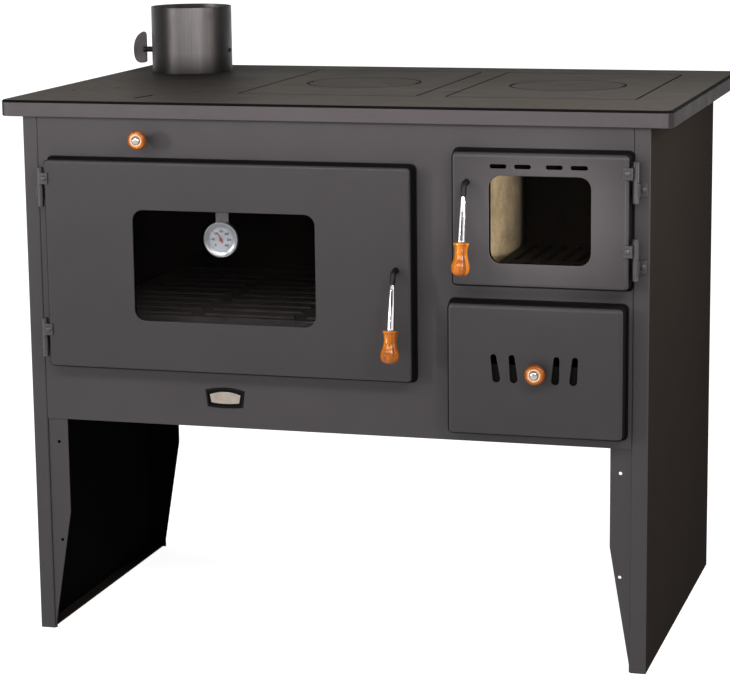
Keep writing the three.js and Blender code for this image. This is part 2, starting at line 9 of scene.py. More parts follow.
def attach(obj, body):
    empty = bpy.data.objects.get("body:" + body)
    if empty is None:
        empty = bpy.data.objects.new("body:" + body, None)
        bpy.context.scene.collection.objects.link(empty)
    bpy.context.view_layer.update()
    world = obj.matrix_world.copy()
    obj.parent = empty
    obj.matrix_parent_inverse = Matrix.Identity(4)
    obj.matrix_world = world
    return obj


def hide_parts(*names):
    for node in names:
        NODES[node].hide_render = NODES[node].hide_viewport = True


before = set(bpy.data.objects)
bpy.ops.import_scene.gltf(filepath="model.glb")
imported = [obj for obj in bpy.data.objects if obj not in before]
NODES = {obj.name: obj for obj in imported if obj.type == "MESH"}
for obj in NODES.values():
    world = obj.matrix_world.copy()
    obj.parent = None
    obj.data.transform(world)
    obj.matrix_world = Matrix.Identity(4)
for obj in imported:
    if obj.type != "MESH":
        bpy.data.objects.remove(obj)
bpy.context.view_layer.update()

# ------------------------------------------------------------------ the part's own numbers, in millimetres
# y runs back from the face of the front panel, as in the part
Y_SHIFT = -279.95
TOP_Z, LIP, HOB_T = 810.0, 24.0, 10.0
OVEN_DOOR = dict(x0=-427, x1=130.5, z0=415.5, z1=724.5, d=25)
FIRE_DOOR = dict(x0=191, x1=443, z0=560, z1=750, d=30)
ASH_FRONT = dict(x0=184, x1=436, z0=346, z1=535, d=30)
OVEN_WIN = dict(x0=-289, x1=-11, z0=490.5, z1=654, r=16)
FIRE_WIN = dict(x0=246, x1=390.5, z0=594.5, z1=718, r=17)
INS_L = dict(x0=-180, x1=96, y0=141, y1=557)
INS_R = dict(x0=140, x1=422, y0=141, y1=557)
LID_R, LID_Y = 88.0, 346.0
FLUE = dict(x=-386.0, y=512.0, r=66.0, wall=3.0, top=917.0)
DAMPER_Z = 845.0
HINGE_Y, HINGE_R, HINGE_HALF = -17.5, 4.75, 29.5
OVEN_HINGE_X, FIRE_HINGE_X = -435.0, 450.5
OVEN_HINGE_Z, FIRE_HINGE_Z = [683.4, 458.0], [711.0, 603.0]
OVEN_HANDLE, FIRE_HANDLE = (109.0, 578.0), (214.0, 708.0)
THERMO = (-156.5, 612.8)
BYPASS = (-277.4, 756.3)
ASH_KNOB = (314.5, 440.0)


def at(x, y, z):
    return Vector((x / 1000, (y + Y_SHIFT) / 1000, z / 1000))


def on_floor_plan(u, v, h):      # outlines drawn from above, h is the height
    return at(u, v, h)


def on_front(u, v, h):           # outlines drawn on the front, h is the distance in front of the panel
    return at(u, -h, v)


# ------------------------------------------------------------------ mesh helpers
def finish_mesh(bm, name, body, node=None, mats=(), sharp=32.0, weighted=True):
    bmesh.ops.recalc_face_normals(bm, faces=bm.faces)
    me = bpy.data.meshes.new(name)
    bm.to_mesh(me)
    bm.free()
    for m in mats:
        me.materials.append(m)
    me.shade_smooth()
    me.set_sharp_from_angle(angle=math.radians(sharp))
    ob = bpy.data.objects.new(name, me)
    bpy.context.scene.collection.objects.link(ob)
    if weighted:
        w = ob.modifiers.new("normals", "WEIGHTED_NORMAL")
        w.keep_sharp = True
        w.weight = 100
    if body:
        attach(ob, body)
    if node:
        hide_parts(*([node] if isinstance(node, str) else node))
    return ob


def grown(pts, d):
    if abs(d) < 1e-9:
        return list(pts)
    out, n = [], len(pts)
    for i in range(n):
        a, b, c = Vector(pts[i - 1]), Vector(pts[i]), Vector(pts[(i + 1) % n])
        e, f = (b - a).normalized(), (c - b).normalized()
        p, q = Vector((e.y, -e.x)), Vector((f.y, -f.x))
        m = (p + q).normalized()
        k = max(m.dot(p), 0.35)
        out.append(tuple(b + m * (d / k)))
    return out


def round_rect(x0, x1, y0, y1, r, n=8):
    pts = []
    for cx, cy, a in ((x1 - r, y0 + r, -90), (x1 - r, y1 - r, 0), (x0 + r, y1 - r, 90), (x0 + r, y0 + r, 180)):
        for i in range(n + 1):
            t = math.radians(a + 90 * i / n)
            pts.append((cx + r * math.cos(t), cy + r * math.sin(t)))
    return pts


def circle(cx, cy, r, n=96):
    return [(cx + r * math.cos(2 * math.pi * i / n), cy + r * math.sin(2 * math.pi * i / n)) for i in range(n)]


def eased(r, h, n=4, sign=-1.0):
    """Quarter round from a cap at height h down to the wall: pairs of outline offset and height."""
    out = []
    for i in range(n + 1):
        t = math.pi / 2 * i / n
        out.append((sign * r * (1 - math.sin(t)), h - r * (1 - math.cos(t))))
    return out


def lofted(bm, loops, place):
    """Closed solid between two caps. loops: [(outline, [(offset, height), ...]), ...], the outer one first, then holes.
    Outlines run anticlockwise; a positive offset makes an outline larger."""
    first, last = [], []
    for pts, profile in loops:
        rings = [[bm.verts.new(place(u, v, h)) for u, v in grown(pts, o)] for o, h in profile]
        for a, b in zip(rings, rings[1:]):
            for i in range(len(a)):
                j = (i + 1) % len(a)
                bm.faces.new((a[i], a[j], b[j], b[i]))
        first.append((grown(pts, profile[0][0]), rings[0]))
        last.append((grown(pts, profile[-1][0]), rings[-1]))
    for cap in (first, last):
        flat = [v for _, ring in cap for v in ring]
        for tri in tessellate_polygon([[Vector((u, v, 0)) for u, v in pts] for pts, _ in cap]):
            try:
                bm.faces.new([flat[i] for i in tri])
            except ValueError:
                pass


def lathe(bm, profile, place, n=64):
    """Turned solid. profile: [(radius, height), ...]; the ends lie on the axis, or the profile closes on itself."""
    closed = profile[0] == profile[-1]
    prof = profile[:-1] if closed else profile
    rings = []
    for r, h in prof:
        if r < 1e-6:
            rings.append([bm.verts.new(place(0, 0, h))])
        else:
            rings.append([bm.verts.new(place(r * math.cos(2 * math.pi * i / n), r * math.sin(2 * math.pi * i / n), h)) for i in range(n)])
    pairs = list(zip(rings, rings[1:])) + ([(rings[-1], rings[0])] if closed else [])
    for a, b in pairs:
        if len(a) == 1 and len(b) == 1:
            continue
        for i in range(n):
            j = (i + 1) % n
            if len(a) == 1:
                bm.faces.new((a[0], b[j], b[i]))
            elif len(b) == 1:
                bm.faces.new((a[i], a[j], b[0]))
            else:
                bm.faces.new((a[i], a[j], b[j], b[i]))


def soften(profile, r=0.6, n=3):
    """Rounds the corners of a turned profile."""
    out = []
    closed = profile[0] == profile[-1]
    pts = profile[:-1] if closed else profile
    m = len(pts)
    for i, p in enumerate(pts):
        if not closed and i in (0, m - 1):
            out.append(p)
            continue
        a, b, c = Vector(pts[i - 1]), Vector(p), Vector(pts[(i + 1) % m])
        u, v = a - b, c - b
        k = min(r, u.length * 0.45, v.length * 0.45)
        s, e = b + u.normalized() * k, b + v.normalized() * k
        for j in range(n + 1):
            t = j / n
            q = s * (1 - t) ** 2 + b * 2 * t * (1 - t) + e * t ** 2
            out.append((max(q.x, 0.0), q.y))
    if closed:
        out.append(out[0])
    return out


def smooth_path(pts, per=6):
    out = []
    P = [Vector(p) for p in pts]
    for i in range(len(P) - 1):
        a, b, c, d = P[max(i - 1, 0)], P[i], P[i + 1], P[min(i + 2, len(P) - 1)]
        for j in range(per):
            t = j / per
            out.append(0.5 * ((2 * b) + (c - a) * t + (2 * a - 5 * b + 4 * c - d) * t * t + (3 * b - a - 3 * c + d) * t ** 3))
    out.append(P[-1])
    return out


def tube(bm, path, r, n=20):
    """Round bar along a path of (x, y, z) in millimetres, closed at both ends."""
    P = [Vector(p) for p in path]
    rings = []
    side = None
    for i, p in enumerate(P):
        t = (P[min(i + 1, len(P) - 1)] - P[max(i - 1, 0)]).normalized()
        if side is None:
            side = t.orthogonal().normalized()
        side = (side - t * side.dot(t)).normalized()
        up = t.cross(side)
        rings.append([bm.verts.new(at(*(p + (side * math.cos(2 * math.pi * k / n) + up * math.sin(2 * math.pi * k / n)) * r))) for k in range(n)])
    for a, b in zip(rings, rings[1:]):
        for i in range(n):
            j = (i + 1) % n
            bm.faces.new((a[i], a[j], b[j], b[i]))
    for ring in (rings[0], rings[-1]):
        bm.faces.new(ring)


def block(bm, x0, x1, y0, y1, z0, z1, ease=0.5, seg=2):
    x0, x1 = min(x0, x1), max(x0, x1)
    new = bmesh.ops.create_cube(bm, size=1.0)["verts"]
    for v in new:
        v.co = at((x0 + x1) / 2 + v.co.x * (x1 - x0), (y0 + y1) / 2 + v.co.y * (y1 - y0), (z0 + z1) / 2 + v.co.z * (z1 - z0))
    if ease:
        edges = list({e for v in new for e in v.link_edges})
        bmesh.ops.bevel(bm, geom=edges, offset=ease / 1000, segments=seg, profile=0.5, affect="EDGES", clamp_overlap=True)


def refined(node, body, mats, width=0.5, seg=2, angle=30.0, wide=None, wide_width=2.2, paint_faces=None):
    """The CAD node's own shape with its edges eased. wide(edge) picks the edges with the larger radius."""
    bm = bmesh.new()
    bm.from_mesh(NODES[node].data)
    bmesh.ops.remove_doubles(bm, verts=bm.verts, dist=2e-6)
    bmesh.ops.dissolve_limit(bm, angle_limit=math.radians(0.6), verts=bm.verts, edges=bm.edges)

    def convex(e, least):
        return len(e.link_faces) == 2 and e.is_convex and e.calc_face_angle(0.0) > math.radians(least)

    if wide:
        picked = [e for e in bm.edges if convex(e, angle) and wide(e)]
        if picked:
            bmesh.ops.bevel(bm, geom=picked, offset=wide_width / 1000, segments=5, profile=0.5, affect="EDGES", clamp_overlap=True)
    if width:
        picked = [e for e in bm.edges if convex(e, angle) and e.calc_length() > 0.0012]
        bmesh.ops.bevel(bm, geom=picked, offset=width / 1000, segments=seg, profile=0.5, affect="EDGES", clamp_overlap=True)
    if paint_faces:
        bm.normal_update()
        for f in bm.faces:
            f.material_index = paint_faces(f)
    return finish_mesh(bm, "look_" + node, body, node, mats)


# ------------------------------------------------------------------ materials
class Graph:
    def __init__(self, name):
        self.mat = bpy.data.materials.new(name)
        self.mat.use_nodes = True
        self.t = self.mat.node_tree
        self.bsdf = next(n for n in self.t.nodes if n.type == "BSDF_PRINCIPLED")
        self.coord = self.t.nodes.new("ShaderNodeTexCoord").outputs["Object"]

    def link(self, a, b):
        self.t.links.new(a, b)

    def set(self, **kw):
        for k, v in kw.items():
            self.bsdf.inputs[k.replace("_", " ")].default_value = v

    def scaled(self, sx, sy, sz, rot=(0, 0, 0)):
        m = self.t.nodes.new("ShaderNodeMapping")
        m.inputs["Scale"].default_value = (sx, sy, sz)
        m.inputs["Rotation"].default_value = rot
        self.link(self.coord, m.inputs["Vector"])
        return m.outputs["Vector"]

    def noise(self, scale, detail=3.0, rough=0.5, vector=None, distortion=0.0):
        n = self.t.nodes.new("ShaderNodeTexNoise")
        n.inputs["Scale"].default_value = scale
        n.inputs["Detail"].default_value = detail
        n.inputs["Roughness"].default_value = rough
        n.inputs["Distortion"].default_value = distortion
        self.link(vector or self.coord, n.inputs["Vector"])
        return n.outputs["Fac"]

    def ramp(self, fac, stops):
        r = self.t.nodes.new("ShaderNodeValToRGB")
        r.color_ramp.elements[0].position, r.color_ramp.elements[0].color = stops[0][0], (*stops[0][1], 1)
        r.color_ramp.elements[1].position, r.color_ramp.elements[1].color = stops[-1][0], (*stops[-1][1], 1)
        for p, c in stops[1:-1]:
            r.color_ramp.elements.new(p).color = (*c, 1)
        self.link(fac, r.inputs["Fac"])
        return r.outputs["Color"]

    def span(self, fac, lo, hi, a=0.3, b=0.7):
        m = self.t.nodes.new("ShaderNodeMapRange")
        for k, v in (("From Min", a), ("From Max", b), ("To Min", lo), ("To Max", hi)):
            m.inputs[k].default_value = v
        self.link(fac, m.inputs["Value"])
        return m.outputs["Result"]

    def mixed(self, fac, a, b, how="MIX"):
        m = self.t.nodes.new("ShaderNodeMix")
        m.data_type, m.blend_type = "RGBA", how
        if isinstance(fac, float):
            m.inputs[0].default_value = fac
        else:
            self.link(fac, m.inputs[0])
        for k, v in ((6, a), (7, b)):
            if isinstance(v, tuple):
                m.inputs[k].default_value = (*v, 1)
            else:
                self.link(v, m.inputs[k])
        return m.outputs[2]

    def calc(self, how, a, b):
        n = self.t.nodes.new("ShaderNodeMath")
        n.operation = how
        for k, v in ((0, a), (1, b)):
            if isinstance(v, float):
                n.inputs[k].default_value = v
            elif v is not None:
                self.link(v, n.inputs[k])
        return n.outputs["Value"]

    def bump(self, heights):
        last = None
        for fac, strength, distance in heights:
            b = self.t.nodes.new("ShaderNodeBump")
            b.inputs["Strength"].default_value = strength
            b.inputs["Distance"].default_value = distance
            self.link(fac, b.inputs["Height"])
            if last:
                self.link(last, b.inputs["Normal"])
            last = b.outputs["Normal"]
        self.link(last, self.bsdf.inputs["Normal"])

    def color(self, c):
        self.link(c, self.bsdf.inputs["Base Color"])

    def rough(self, r):
        self.link(r, self.bsdf.inputs["Roughness"])


def shade(c, k):
    return tuple(x * k for x in c)


def satin_paint(name, c, rough=0.46, peel=0.5, spread=0.1, coat=0.0, gloss=0.2):
    """Heat-proof powder coat: fine orange peel, slow change of tone, slightly uneven gloss."""
    g = Graph(name)
    slow, mid = g.noise(5.0, 4.0, 0.55), g.noise(38.0, 4.0, 0.6)
    tone = g.ramp(slow, [(0.28, shade(c, 1 - spread)), (0.72, shade(c, 1 + spread))])
    g.color(g.mixed(g.span(mid, 0.0, 0.16), tone, shade(c, 0.55)))
    g.rough(g.span(g.noise(17.0, 5.0, 0.6), rough - 0.06, rough + 0.07))
    g.bump([(g.noise(820.0, 2.0, 0.5), 0.12 * peel, 0.0006), (g.noise(2600.0, 1.0, 0.5), 0.10 * peel, 0.0002)])
    g.set(Specular_IOR_Level=gloss)
    if coat:
        g.set(Coat_Weight=coat, Coat_Roughness=0.25)
    return g.mat


def ground_iron(name, c, rough=0.5):
    """Cast plate that was ground flat and blacked: fine lines along x, cloudy heat tone and small pits."""
    g = Graph(name)
    lines = g.noise(1.0, 3.0, 0.6, g.scaled(24, 1500, 60))
    cloud = g.noise(9.0, 5.0, 0.62, distortion=0.6)
    pits = g.noise(240.0, 3.0, 0.55)
    tone = g.ramp(cloud, [(0.25, shade(c, 0.84)), (0.5, c), (0.78, (c[0] * 1.16, c[1] * 1.12, c[2] * 1.06))])
    # soot round the foot of the flue collar, drawn out towards the front along a fixed slant as a painted dark
    # reflection of the collar in the hob
    part = g.t.nodes.new("ShaderNodeSeparateXYZ")
    g.link(g.coord, part.inputs["Vector"])
    dx = g.calc("SUBTRACT", part.outputs["X"], FLUE["x"] / 1000)
    dy = g.calc("SUBTRACT", part.outputs["Y"], (FLUE["y"] + Y_SHIFT) / 1000)
    across = g.calc("MULTIPLY", g.calc("ADD", dx, g.calc("MULTIPLY", dy, 0.365)), 2.2)
    along = g.calc("MULTIPLY", dy, 0.42)
    far = g.calc("SQRT", g.calc("ADD", g.calc("MULTIPLY", across, across), g.calc("MULTIPLY", along, along)), None)
    soot_and_painted_reflection = g.span(far, 0.97, 0.0, 0.04, 0.31)
    # the hob darkens towards its rear
    rear = g.span(part.outputs["Y"], 0.0, 0.42, (250 + Y_SHIFT) / 1000, (620 + Y_SHIFT) / 1000)
    iron = g.mixed(g.span(pits, 0.0, 0.6, 0.62, 0.74), g.mixed(g.span(lines, 0.0, 0.26), tone, shade(c, 0.5)), shade(c, 0.35))
    g.color(g.mixed(soot_and_painted_reflection, g.mixed(rear, iron, shade(c, 0.12)), shade(c, 0.05)))
    g.rough(g.span(cloud, rough - 0.07, rough + 0.09))
    g.set(Metallic=0.0, Specular_IOR_Level=0.08)
    g.bump([(lines, 0.10, 0.0004), (pits, 0.10, 0.0006)])
    return g.mat


def raw_casting(name, c, rough=0.72):
    g = Graph(name)
    grain, cloud = g.noise(480.0, 5.0, 0.62), g.noise(26.0, 4.0, 0.6)
    g.color(g.ramp(cloud, [(0.25, shade(c, 0.7)), (0.75, (c[0] * 1.5, c[1] * 1.35, c[2] * 1.2))]))
    g.rough(g.span(grain, rough - 0.08, rough + 0.12))
    g.set(Metallic=0.35)
    g.bump([(grain, 0.4, 0.0006), (cloud, 0.15, 0.002)])
    return g.mat


def drawn_steel(name, c, rough=0.34, along="z", blotch=0.25, metallic=0.9):
    """Plain dark steel: brushed along one direction, with mill scale in soft blotches."""
    g = Graph(name)
    s = {"x": (20, 1400, 1400), "y": (1400, 20, 1400), "z": (1400, 1400, 20)}[along]
    lines, cloud = g.noise(1.0, 2.0, 0.6, g.scaled(*s)), g.noise(34.0, 5.0, 0.65, distortion=0.4)
    g.color(g.mixed(g.span(cloud, 0.0, blotch * 2), g.mixed(g.span(lines, 0.0, 0.3), c, shade(c, 0.62)), (c[0] * 0.5, c[1] * 0.44, c[2] * 0.42)))
    g.rough(g.span(cloud, rough - 0.05, rough + 0.12))
    g.set(Metallic=metallic)
    g.bump([(lines, 0.08, 0.0003), (cloud, 0.05, 0.001)])
    return g.mat


def rolled_steel(name, dark, light, rough=0.32):
    """Rolled collar: brushed upright, with lighter bands painted round it, three to a turn, as painted highlights, and
    darker towards its foot, soot and painted contact shade.
    """
    g = Graph(name)
    xyz = g.t.nodes.new("ShaderNodeSeparateXYZ")
    g.link(g.coord, xyz.inputs["Vector"])

    calc = g.calc
    cx, cy = FLUE["x"] / 1000, (FLUE["y"] + Y_SHIFT) / 1000
    turn = calc("ARCTAN2", calc("SUBTRACT", xyz.outputs["X"], cx), calc("SUBTRACT", cy, xyz.outputs["Y"]))
    place = calc("FRACT", calc("DIVIDE", calc("ADD", turn, math.radians(384.5)), math.radians(120)), None)
    wander = g.noise(1.0, 3.0, 0.6, g.scaled(60, 60, 3))
    place = calc("ADD", place, calc("MULTIPLY", calc("SUBTRACT", wander, 0.5), 0.05))
    part = lambda k: tuple(d + (l - d) * k for d, l in zip(dark, light))
    # lighter bands round the collar: painted highlights
    painted_highlight_band = g.ramp(place, [(0.0, part(0.0)), (0.06, part(0.05)), (0.22, part(0.62)), (0.33, part(0.80)), (0.47, part(1.0)), (0.60, part(0.42)), (0.76, part(0.03)), (1.0, part(0.0))])
    lines, cloud = g.noise(1.0, 2.0, 0.6, g.scaled(900, 900, 14)), g.noise(34.0, 5.0, 0.65, distortion=0.4)
    tone = g.mixed(g.span(lines, 0.0, 0.26), painted_highlight_band, shade(dark, 0.8))
    # darker towards the foot: soot and painted contact shade
    soot_and_painted_foot_shade = g.span(xyz.outputs["Z"], 0.92, 0.0, TOP_Z / 1000, (TOP_Z + 34) / 1000)
    g.color(g.mixed(soot_and_painted_foot_shade, tone, shade(dark, 0.6)))
    g.rough(g.span(cloud, rough - 0.05, rough + 0.10))
    g.set(Metallic=0.9)
    g.bump([(lines, 0.08, 0.0003), (cloud, 0.05, 0.001)])
    return g.mat


def plating(name, c=(0.78, 0.78, 0.80), rough=0.09):
    g = Graph(name)
    haze = g.noise(70.0, 4.0, 0.6)
    g.color(g.ramp(haze, [(0.3, shade(c, 0.93)), (0.7, c)]))
    g.rough(g.span(g.noise(150.0, 3.0, 0.6), rough - 0.03, rough + 0.06))
    g.set(Metallic=1.0)
    g.bump([(g.noise(900.0, 2.0), 0.02, 0.0002)])
    return g.mat


def varnished_wood(name, along="z", axis=None, reach=0.016):
    """Turned hardwood under orange-brown gloss varnish: long grain along the turned axis and short dark pores."""
    g = Graph(name)
    s = {"z": (1, 1, 0.09), "y": (1, 0.09, 1)}[along]
    p = {"z": (1, 1, 0.05), "y": (1, 0.05, 1)}[along]
    grain = g.noise(230.0, 4.0, 0.6, g.scaled(*s), 0.9)
    figure = g.noise(62.0, 3.0, 0.55, g.scaled(*s), 1.6)
    pores = g.noise(1500.0, 2.0, 0.5, g.scaled(*p))
    tone = g.ramp(figure, [(0.28, (0.11, 0.024, 0.001)), (0.5, (0.29, 0.086, 0.003)), (0.74, (0.52, 0.200, 0.008))])
    tone = g.mixed(g.span(grain, 0.0, 0.45, 0.4, 0.68), tone, (0.17, 0.026, 0.002))
    tone = g.mixed(g.span(pores, 0.0, 0.5, 0.60, 0.72), tone, (0.09, 0.018, 0.004))
    if axis:                             # pale ring round the screw cap as a painted highlight, darker outwards as painted shade
        part = g.t.nodes.new("ShaderNodeSeparateXYZ")
        g.link(g.coord, part.inputs["Vector"])
        a, b = g.calc("SUBTRACT", part.outputs["X"], axis[0]), g.calc("SUBTRACT", part.outputs["Z"], axis[1])
        out = g.calc("SQRT", g.calc("ADD", g.calc("MULTIPLY", a, a), g.calc("MULTIPLY", b, b)), None)
        tone = g.mixed(g.span(out, 0.0, 0.86, reach * 0.55, reach), tone, (0.060, 0.0105, 0.002))
        tone = g.mixed(g.span(out, 0.85, 0.0, reach * 0.50, reach * 0.66), tone, (0.62, 0.40, 0.27))
    g.color(tone)
    g.rough(g.span(grain, 0.30, 0.42))
    g.set(Coat_Weight=0.35, Coat_Roughness=0.06, Specular_IOR_Level=0.05)
    g.bump([(pores, 0.05, 0.0003), (grain, 0.04, 0.0004)])
    return g.mat


def sooted_glass(name, c, alpha=0.34):
    """Heat-proof pane with a thin brown film that thickens in patches."""
    g = Graph(name)
    film = g.noise(11.0, 5.0, 0.6, distortion=0.5)
    g.color(g.ramp(film, [(0.3, shade(c, 0.7)), (0.75, (c[0] * 1.7, c[1] * 1.45, c[2] * 1.2))]))
    a = g.span(film, alpha - 0.06, alpha + 0.10)
    g.link(a, g.bsdf.inputs["Alpha"])
    g.rough(g.span(g.noise(46.0, 4.0), 0.04, 0.10))
    g.set(IOR=1.47, Specular_IOR_Level=0.04)
    return g.mat


def fire_board(name, c):
    """Pressed refractory board: sandy grain, chipped pits, soot that climbs in soft patches, and painted shade that
    turns it near black deeper into the firebox.
    """
    g = Graph(name)
    sand, chips, soot_and_painted_reflection = g.noise(620.0, 4.0, 0.6), g.noise(120.0, 3.0, 0.5), g.noise(12.0, 5.0, 0.65, distortion=0.8)
    tone = g.mixed(g.span(sand, 0.0, 0.4), c, shade(c, 0.62))
    part = g.t.nodes.new("ShaderNodeSeparateXYZ")
    g.link(g.coord, part.inputs["Vector"])
    # near black further back: painted shade deeper in the firebox, where the light through the window doesn't reach
    depth = g.span(part.outputs["Y"], 0.0, 1.0, Y_SHIFT / 1000 + 0.20, Y_SHIFT / 1000 + 0.40)
    light = g.mixed(g.span(soot_and_painted_reflection, 0.0, 0.55, 0.42, 0.70), tone, shade(c, 0.12))
    fibre = g.noise(210.0, 4.0, 0.65)
    light = g.mixed(g.span(fibre, 0.0, 0.5, 0.42, 0.66), light, shade(c, 0.42))
    g.color(g.mixed(depth, light, (0.008, 0.007, 0.006)))
    g.rough(g.span(sand, 0.82, 0.97))
    g.bump([(sand, 0.5, 0.0006), (chips, 0.25, 0.0016)])
    return g.mat


def printed_dial(name, c):
    g = Graph(name)
    g.color(g.ramp(g.noise(90.0, 4.0), [(0.3, shade(c, 0.93)), (0.7, c)]))
    g.rough(g.span(g.noise(300.0, 2.0), 0.38, 0.5))
    return g.mat


M = {
    "paint": satin_paint("anthracite_paint", (0.0275, 0.0243, 0.0258), spread=0.05),
    # doors and drawer front: a darker copy of the panel paint, painted shade
    "door": satin_paint("anthracite_door_painted_shade", (0.0205, 0.0181, 0.0192), spread=0.05),
    # darker, matt copy of the paint for faces turned from the light: painted shade
    "side": satin_paint("anthracite_side_painted_shade", (0.0165, 0.0135, 0.0118), 0.75, spread=0.04, gloss=0.0),
    # near-black inside finish, also laid as painted shade on faces under and inside the stove
    "inner": satin_paint("black_inside_and_painted_shade", (0.0020, 0.0018, 0.0019), 0.80, 0.8, 0.2, gloss=0.0),
    # near-black joint paint: soot and painted shade in the gaps and on the hob's front edge; also on the seal rings and
    # rivets
    "gap": satin_paint("sooted_joint_and_painted_shade", (0.0022, 0.0020, 0.0020), 0.85, 0.6, 0.2, gloss=0.05),
    "rim": satin_paint("hob_rim_paint", (0.036, 0.0300, 0.0330), 0.44, spread=0.05),
    "hob": ground_iron("blacked_hob_iron", (0.060, 0.0510, 0.0430), 0.62),
    "lid": ground_iron("blacked_lid_iron", (0.048, 0.0405, 0.0345), 0.60),
    "hinge": satin_paint("anthracite_hinge", (0.0150, 0.0132, 0.0142), 0.34, spread=0.08, gloss=0.5),
    # darker copy of the rim paint for the rim's two ends: painted shade
    "rim_end": satin_paint("hob_rim_end_painted_shade", (0.0150, 0.0125, 0.0120), 0.6, spread=0.05, gloss=0.05),
    "collar": rolled_steel("collar_steel", (0.015, 0.0125, 0.0125), (0.120, 0.111, 0.110), 0.40),
    "steel_x": drawn_steel("flat_steel", (0.16, 0.15, 0.15), 0.36, "x"),
    # near-black ash pan: soot, and painted shade seen through the drawer front's slots
    "pan": satin_paint("sooted_pan_and_painted_shade", (0.0022, 0.0020, 0.0019), 0.75, 0.8, 0.3, gloss=0.02),
    # dark copy of the door paint for returns, left and lower rims and the badge's surround: painted shade
    "return": satin_paint("anthracite_return_painted_shade", (0.0040, 0.0038, 0.0040), 0.6, spread=0.05, gloss=0.05),
    "black": satin_paint("black_rod", (0.0030, 0.0028, 0.0030), 0.42, 0.3, 0.1, gloss=0.15),
    "mottled": drawn_steel("scaled_steel", (0.036, 0.032, 0.036), 0.46, "z", 0.45, 0.6),
    "chrome": plating("bright_plating"),
    "bezel": plating("brushed_bezel", (0.30, 0.31, 0.325), 0.30),
    "cap": plating("dulled_plating", (0.40, 0.385, 0.37), 0.16),
    "wood_z": varnished_wood("varnished_grip", "z"),
    "wood_bypass_knob": varnished_wood("varnished_bypass_knob", "y", (BYPASS[0] / 1000, BYPASS[1] / 1000), 0.0145),
    "wood_ash_knob": varnished_wood("varnished_ash_knob", "y", (ASH_KNOB[0] / 1000, ASH_KNOB[1] / 1000), 0.0153),
    "glass": sooted_glass("heat_glass", (0.0010, 0.0008, 0.0007), 0.14),
    "brick": fire_board("fire_board", (0.86, 0.64, 0.355)),
    "casting": raw_casting("raw_casting", (0.030, 0.027, 0.026)),
    "dial": printed_dial("dial_face", (0.285, 0.30, 0.325)),
    "ink": printed_dial("dial_ink", (0.012, 0.012, 0.013)),
    "red": printed_dial("pointer_red", (0.21, 0.018, 0.013)),
    "badge": drawn_steel("bare_plate", (0.34, 0.305, 0.26), 0.34, "x", 0.3),
    "grate": raw_casting("sooted_grate", (0.010, 0.009, 0.0088)),
    "screw": drawn_steel("screw_steel", (0.022, 0.020, 0.021), 0.36, "z", 0.2),
}

# ------------------------------------------------------------------ camera
CAM_AT, CAM_FWD, CAM_UP = (1049.7, -3416.3, 1158.9), Vector((-0.2744, 0.9424, -0.1912)).normalized(), Vector((-0.0422, 0.1868, 0.9815))
cam = bpy.data.objects.new("camera", bpy.data.cameras.new("camera"))
bpy.context.scene.collection.objects.link(cam)
right = CAM_FWD.cross(CAM_UP).normalized()
up = right.cross(CAM_FWD).normalized()
turn = Matrix((right, up, -CAM_FWD)).transposed().to_4x4()
cam.matrix_world = Matrix.Translation(at(*CAM_AT)) @ turn
cam.data.sensor_width = 36.0
cam.data.lens = 2511.3 / 730.0 * 36.0
cam.data.clip_start, cam.data.clip_end = 0.1, 200.0
bpy.context.scene.camera = cam


# ------------------------------------------------------------------ side panels: folded sheet
def long_fold(e):
    a, b = e.verts[0].co, e.verts[1].co
    upright_edge = abs(a.z - b.z) > 0.1 and abs(a.x - b.x) < 0.0004
    front = abs(a.y - (Y_SHIFT / 1000)) < 0.0006
    return upright_edge and (front or abs(abs(a.x) - 0.468) < 0.0006)


for side, node in ((-1, "side_panel_left"), (1, "side_panel_right")):
    # the leg's inner face and the back of the front fold take the near-black inside paint as painted shade; the rest of
    # the sheet takes the darker side paint, also painted shade
    def inside(f, s=side):
        c = f.calc_center_median()
        return 1 if (f.normal.x * s < -0.5 and abs(abs(c.x) - 0.4655) < 0.0012) or f.normal.y > 0.5 and c.y < -0.2 else 0
    refined(node, "body", (M["side"], M["inner"]), 0.35, 2, 30, long_fold, 2.0, inside)

# the side face keeps the darker side paint as painted shade; the front fold and its flange take the lighter front
# paint, and front-facing faces further back take the near-black inside paint as painted shade
for node in ("look_side_panel_left", "look_side_panel_right"):
    me = bpy.data.objects[node].data
    me.materials.append(M["paint"])
    for p in me.polygons:
        if p.normal.y < -0.3 and p.material_index == 0:
            p.material_index = 2 if p.center.y < -0.2 else 1

refined("front_panel", "body", (M["paint"],), 0.35)
# bare plate; all but its front face takes the dark return paint, painted shade of the dish it sits in
refined("badge_plate", "body", (M["badge"], M["return"]), 0.5, 3,
        paint_faces=lambda f: 0 if f.normal.y < -0.3 and -0.28 < f.calc_center_median().y * 1000 - Y_SHIFT < 0.9 else 1)
refined("back_panel", "body", (M["inner"], M["side"]), 0.4, paint_faces=lambda f: 1 if f.normal.y > 0.3 else 0)
for node in ("base_panel", "divider_panel", "oven_box", "smoke_baffle", "grate_frame", "ash_shelf"):
    refined(node, "body", (M["inner"],), 0.4)
refined("oven_tray", "body", (M["casting"],), 0.9, 3)
refined("grate", "body", (M["grate"],), 1.2, 3)
for node in ("lining_left", "lining_right", "lining_rear"):
    refined(node, "body", (M["brick"],), 1.4, 3)


# ------------------------------------------------------------------ hob
def new():
    return bmesh.new()


